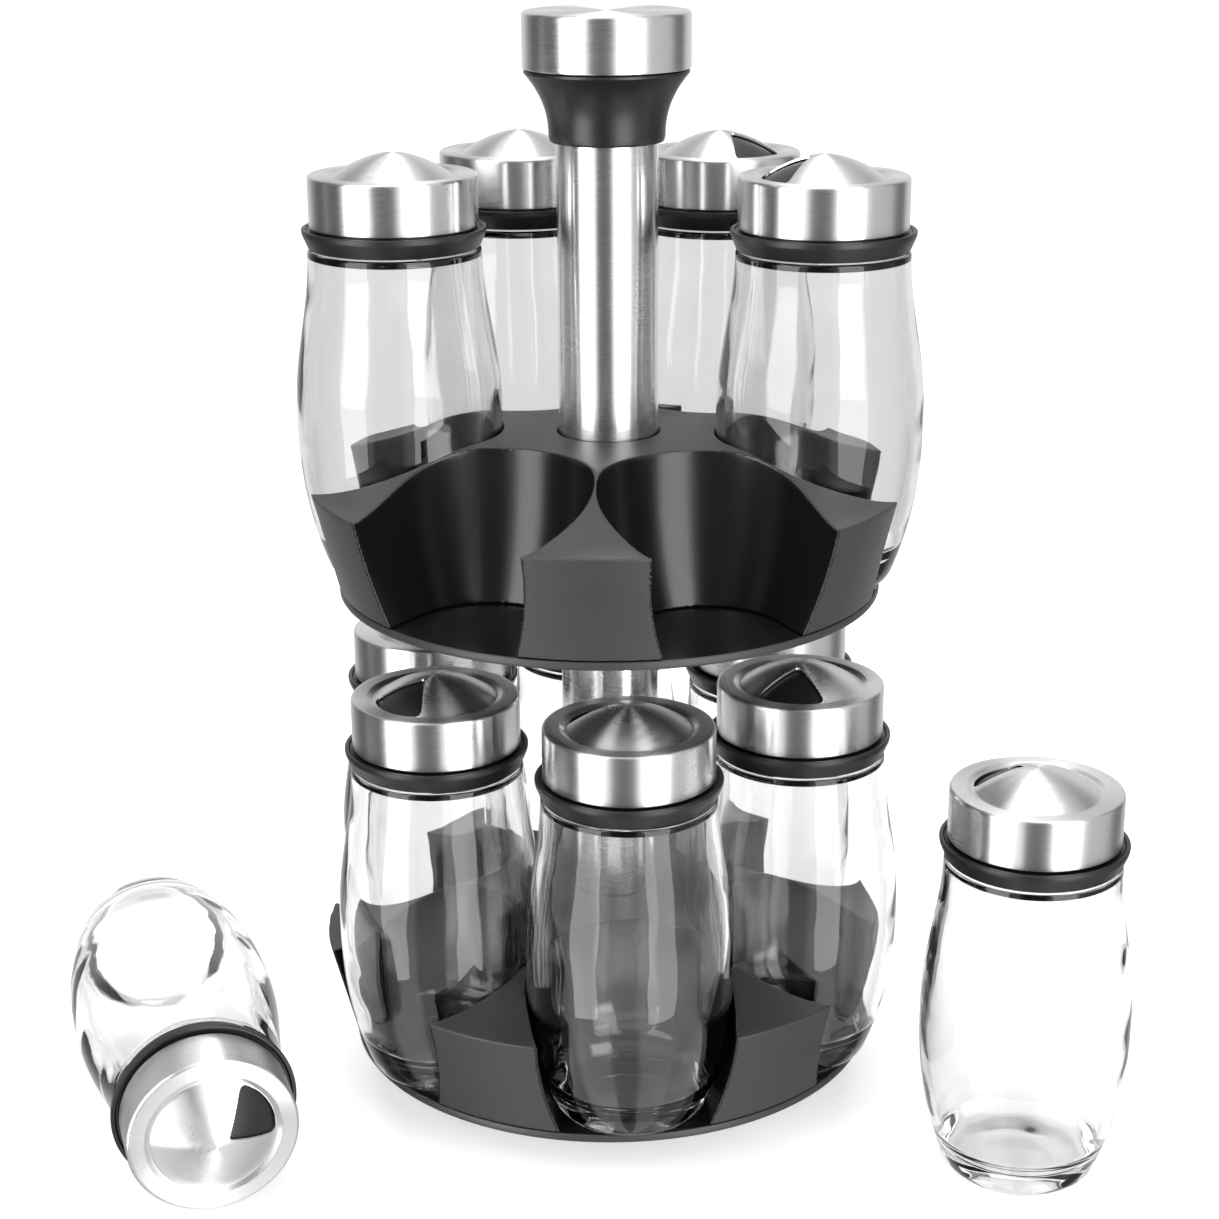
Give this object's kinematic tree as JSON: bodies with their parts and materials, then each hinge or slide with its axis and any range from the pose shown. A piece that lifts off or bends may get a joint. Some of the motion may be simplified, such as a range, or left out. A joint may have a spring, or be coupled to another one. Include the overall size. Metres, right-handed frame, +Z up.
{
  "type": "spice carousel",
  "caption": "Two-tier revolving spice rack: star-shaped pocketed tiers on a steel post with a turning knob, holding glass shaker jars with rotating steel lids.",
  "frame": {"origin": "centre of the anti-slip pad's underside, on the axis the carousel turns about", "axes": "+Z up along the post towards the knob; -Y towards the front, between the two empty pockets of the upper tier"},
  "size_m": [0.2615, 0.1577, 0.2668],
  "materials": {
    "black_plastic": "satin, fine moulded grain",
    "sifter_plastic": "semi-gloss",
    "steel": "fine brushed, bright",
    "zinc_steel": "dull zinc plate",
    "nylon": "satin",
    "rubber": "matte",
    "glass": "clear, polished"
  },
  "bodies": {
    "base": {"anti_slip_pad": "rubber", "base_plate": "black_plastic"},
    "bearing": {"ball_race": "nylon"},
    "carousel": {"rod_nut": "zinc_steel", "rod_washer": "zinc_steel", "tie_rod": "zinc_steel", "lower_tier_floor": "black_plastic", "lower_tier_star": "black_plastic", "lower_post_tube": "steel", "tier_bush": "nylon", "upper_post_tube": "steel", "knob_collar": "black_plastic", "knob_cap": "steel"},
    "upper_tier": {"upper_tier_floor": "black_plastic", "upper_tier_star": "black_plastic"},
    "jar_upper_left": {"glass_upper_left": "glass"},
    "cap_upper_left": {"sifter_upper_left": "sifter_plastic"},
    "lid_upper_left": {"lid_upper_left": "steel"},
    "jar_upper_right": {"glass_upper_right": "glass"},
    "cap_upper_right": {"sifter_upper_right": "sifter_plastic"},
    "lid_upper_right": {"lid_upper_right": "steel"},
    "jar_upper_back_left": {"glass_upper_back_left": "glass"},
    "cap_upper_back_left": {"sifter_upper_back_left": "sifter_plastic"},
    "lid_upper_back_left": {"lid_upper_back_left": "steel"},
    "jar_upper_back_right": {"glass_upper_back_right": "glass"},
    "cap_upper_back_right": {"sifter_upper_back_right": "sifter_plastic"},
    "lid_upper_back_right": {"lid_upper_back_right": "steel"},
    "jar_lower_front": {"glass_lower_front": "glass"},
    "cap_lower_front": {"sifter_lower_front": "sifter_plastic"},
    "lid_lower_front": {"lid_lower_front": "steel"},
    "jar_lower_front_left": {"glass_lower_front_left": "glass"},
    "cap_lower_front_left": {"sifter_lower_front_left": "sifter_plastic"},
    "lid_lower_front_left": {"lid_lower_front_left": "steel"},
    "jar_lower_front_right": {"glass_lower_front_right": "glass"},
    "cap_lower_front_right": {"sifter_lower_front_right": "sifter_plastic"},
    "lid_lower_front_right": {"lid_lower_front_right": "steel"},
    "jar_lower_back_left": {"glass_lower_back_left": "glass"},
    "cap_lower_back_left": {"sifter_lower_back_left": "sifter_plastic"},
    "lid_lower_back_left": {"lid_lower_back_left": "steel"},
    "jar_lower_back_right": {"glass_lower_back_right": "glass"},
    "cap_lower_back_right": {"sifter_lower_back_right": "sifter_plastic"},
    "lid_lower_back_right": {"lid_lower_back_right": "steel"},
    "jar_lower_back": {"glass_lower_back": "glass"},
    "cap_lower_back": {"sifter_lower_back": "sifter_plastic"},
    "lid_lower_back": {"lid_lower_back": "steel"},
    "jar_standing_loose": {"glass_standing_loose": "glass"},
    "cap_standing_loose": {"sifter_standing_loose": "sifter_plastic"},
    "lid_standing_loose": {"lid_standing_loose": "steel"},
    "jar_lying_loose": {"glass_lying_loose": "glass"},
    "cap_lying_loose": {"sifter_lying_loose": "sifter_plastic"},
    "lid_lying_loose": {"lid_lying_loose": "steel"}
  },
  "joints": [
    {"name": "carousel_spin", "type": "hinge", "parent": "base", "child": "carousel", "pos_m": [0, 0, 0], "axis": [0, 0, 1], "continuous": true},
    {"name": "bearing_spin", "type": "hinge", "parent": "base", "child": "bearing", "pos_m": [0, 0, 0.01], "axis": [0, 0, 1], "continuous": true},
    {"name": "upper_tier_spin", "type": "hinge", "parent": "carousel", "child": "upper_tier", "pos_m": [0, 0, 0.13], "axis": [0, 0, 1], "continuous": true},
    {"name": "upper_left_jar_lift", "type": "slide", "parent": "upper_tier", "child": "jar_upper_left", "axis": [0, 0, 1], "range_m": [0, 0.11]},
    {"name": "upper_right_jar_lift", "type": "slide", "parent": "upper_tier", "child": "jar_upper_right", "axis": [0, 0, 1], "range_m": [0, 0.11]},
    {"name": "upper_back_left_jar_lift", "type": "slide", "parent": "upper_tier", "child": "jar_upper_back_left", "axis": [0, 0, 1], "range_m": [0, 0.11]},
    {"name": "upper_back_right_jar_lift", "type": "slide", "parent": "upper_tier", "child": "jar_upper_back_right", "axis": [0, 0, 1], "range_m": [0, 0.11]},
    {"name": "lower_front_jar_draw", "type": "slide", "parent": "carousel", "child": "jar_lower_front", "axis": [0.0768, -0.8955, 0.4384], "range_m": [0, 0.045]},
    {"name": "lower_front_left_jar_draw", "type": "slide", "parent": "carousel", "child": "jar_lower_front_left", "axis": [-0.7371, -0.5142, 0.4384], "range_m": [0, 0.014]},
    {"name": "lower_front_right_jar_draw", "type": "slide", "parent": "carousel", "child": "jar_lower_front_right", "axis": [0.8139, -0.3813, 0.4384], "range_m": [0, 0.008]},
    {"name": "lower_back_left_jar_draw", "type": "slide", "parent": "carousel", "child": "jar_lower_back_left", "axis": [-0.8139, 0.3813, 0.4384], "range_m": [0, 0.008]},
    {"name": "lower_back_right_jar_draw", "type": "slide", "parent": "carousel", "child": "jar_lower_back_right", "axis": [0.7371, 0.5142, 0.4384], "range_m": [0, 0.014]},
    {"name": "lower_back_jar_draw", "type": "slide", "parent": "carousel", "child": "jar_lower_back", "axis": [-0.0768, 0.8955, 0.4384], "range_m": [0, 0.045]},
    {"name": "standing_loose_jar_lift", "type": "slide", "parent": "base", "child": "jar_standing_loose", "axis": [0, 0, 1], "range_m": [0, 0.1]},
    {"name": "lying_loose_jar_lift", "type": "slide", "parent": "base", "child": "jar_lying_loose", "axis": [0, 0, 1], "range_m": [0, 0.08]},
    {"name": "upper_left_cap_lift", "type": "slide", "parent": "jar_upper_left", "child": "cap_upper_left", "axis": [0, 0, 1], "range_m": [0, 0.035]},
    {"name": "upper_right_cap_lift", "type": "slide", "parent": "jar_upper_right", "child": "cap_upper_right", "axis": [0, 0, 1], "range_m": [0, 0.035]},
    {"name": "upper_back_left_cap_lift", "type": "slide", "parent": "jar_upper_back_left", "child": "cap_upper_back_left", "axis": [0, 0, 1], "range_m": [0, 0.035]},
    {"name": "upper_back_right_cap_lift", "type": "slide", "parent": "jar_upper_back_right", "child": "cap_upper_back_right", "axis": [0, 0, 1], "range_m": [0, 0.035]},
    {"name": "lower_front_cap_lift", "type": "slide", "parent": "jar_lower_front", "child": "cap_lower_front", "axis": [0, 0, 1], "range_m": [0, 0.007]},
    {"name": "lower_front_left_cap_lift", "type": "slide", "parent": "jar_lower_front_left", "child": "cap_lower_front_left", "axis": [0, 0, 1], "range_m": [0, 0.007]},
    {"name": "lower_front_right_cap_lift", "type": "slide", "parent": "jar_lower_front_right", "child": "cap_lower_front_right", "axis": [0, 0, 1], "range_m": [0, 0.007]},
    {"name": "lower_back_left_cap_lift", "type": "slide", "parent": "jar_lower_back_left", "child": "cap_lower_back_left", "axis": [0, 0, 1], "range_m": [0, 0.007]},
    {"name": "lower_back_right_cap_lift", "type": "slide", "parent": "jar_lower_back_right", "child": "cap_lower_back_right", "axis": [0, 0, 1], "range_m": [0, 0.007]},
    {"name": "lower_back_cap_lift", "type": "slide", "parent": "jar_lower_back", "child": "cap_lower_back", "axis": [0, 0, 1], "range_m": [0, 0.007]},
    {"name": "standing_loose_cap_lift", "type": "slide", "parent": "jar_standing_loose", "child": "cap_standing_loose", "axis": [0, 0, 1], "range_m": [0, 0.035]},
    {"name": "lying_loose_cap_lift", "type": "slide", "parent": "jar_lying_loose", "child": "cap_lying_loose", "axis": [0.3166, -0.9463, -0.0657], "range_m": [0, 0.035]},
    {"name": "upper_left_lid_turn", "type": "hinge", "parent": "cap_upper_left", "child": "lid_upper_left", "pos_m": [-0.05038, 0.00352, 0.2227], "axis": [0, 0, 1], "continuous": true},
    {"name": "upper_right_lid_turn", "type": "hinge", "parent": "cap_upper_right", "child": "lid_upper_right", "pos_m": [0.05038, -0.00352, 0.2227], "axis": [0, 0, 1], "continuous": true},
    {"name": "upper_back_left_lid_turn", "type": "hinge", "parent": "cap_upper_back_left", "child": "lid_upper_back_left", "pos_m": [-0.02214, 0.04539, 0.2227], "axis": [0, 0, 1], "continuous": true},
    {"name": "upper_back_right_lid_turn", "type": "hinge", "parent": "cap_upper_back_right", "child": "lid_upper_back_right", "pos_m": [0.02824, 0.04187, 0.2227], "axis": [0, 0, 1], "continuous": true},
    {"name": "lower_front_lid_turn", "type": "hinge", "parent": "cap_lower_front", "child": "lid_lower_front", "pos_m": [0.00431, -0.05031, 0.1047], "axis": [0, 0, 1], "continuous": true},
    {"name": "lower_front_left_lid_turn", "type": "hinge", "parent": "cap_lower_front_left", "child": "lid_lower_front_left", "pos_m": [-0.04142, -0.02889, 0.1047], "axis": [0, 0, 1], "continuous": true},
    {"name": "lower_front_right_lid_turn", "type": "hinge", "parent": "cap_lower_front_right", "child": "lid_lower_front_right", "pos_m": [0.04573, -0.02142, 0.1047], "axis": [0, 0, 1], "continuous": true},
    {"name": "lower_back_left_lid_turn", "type": "hinge", "parent": "cap_lower_back_left", "child": "lid_lower_back_left", "pos_m": [-0.04573, 0.02142, 0.1047], "axis": [0, 0, 1], "continuous": true},
    {"name": "lower_back_right_lid_turn", "type": "hinge", "parent": "cap_lower_back_right", "child": "lid_lower_back_right", "pos_m": [0.04142, 0.02889, 0.1047], "axis": [0, 0, 1], "continuous": true},
    {"name": "lower_back_lid_turn", "type": "hinge", "parent": "cap_lower_back", "child": "lid_lower_back", "pos_m": [-0.00431, 0.05031, 0.1047], "axis": [0, 0, 1], "continuous": true},
    {"name": "standing_loose_lid_turn", "type": "hinge", "parent": "cap_standing_loose", "child": "lid_standing_loose", "pos_m": [0.0978, -0.0533, 0.09], "axis": [0, 0, 1], "continuous": true},
    {"name": "lying_loose_lid_turn", "type": "hinge", "parent": "cap_lying_loose", "child": "lid_lying_loose", "pos_m": [-0.0938, -0.06976, 0.02149], "axis": [0.3166, -0.9463, -0.0657], "continuous": true}
  ]
}
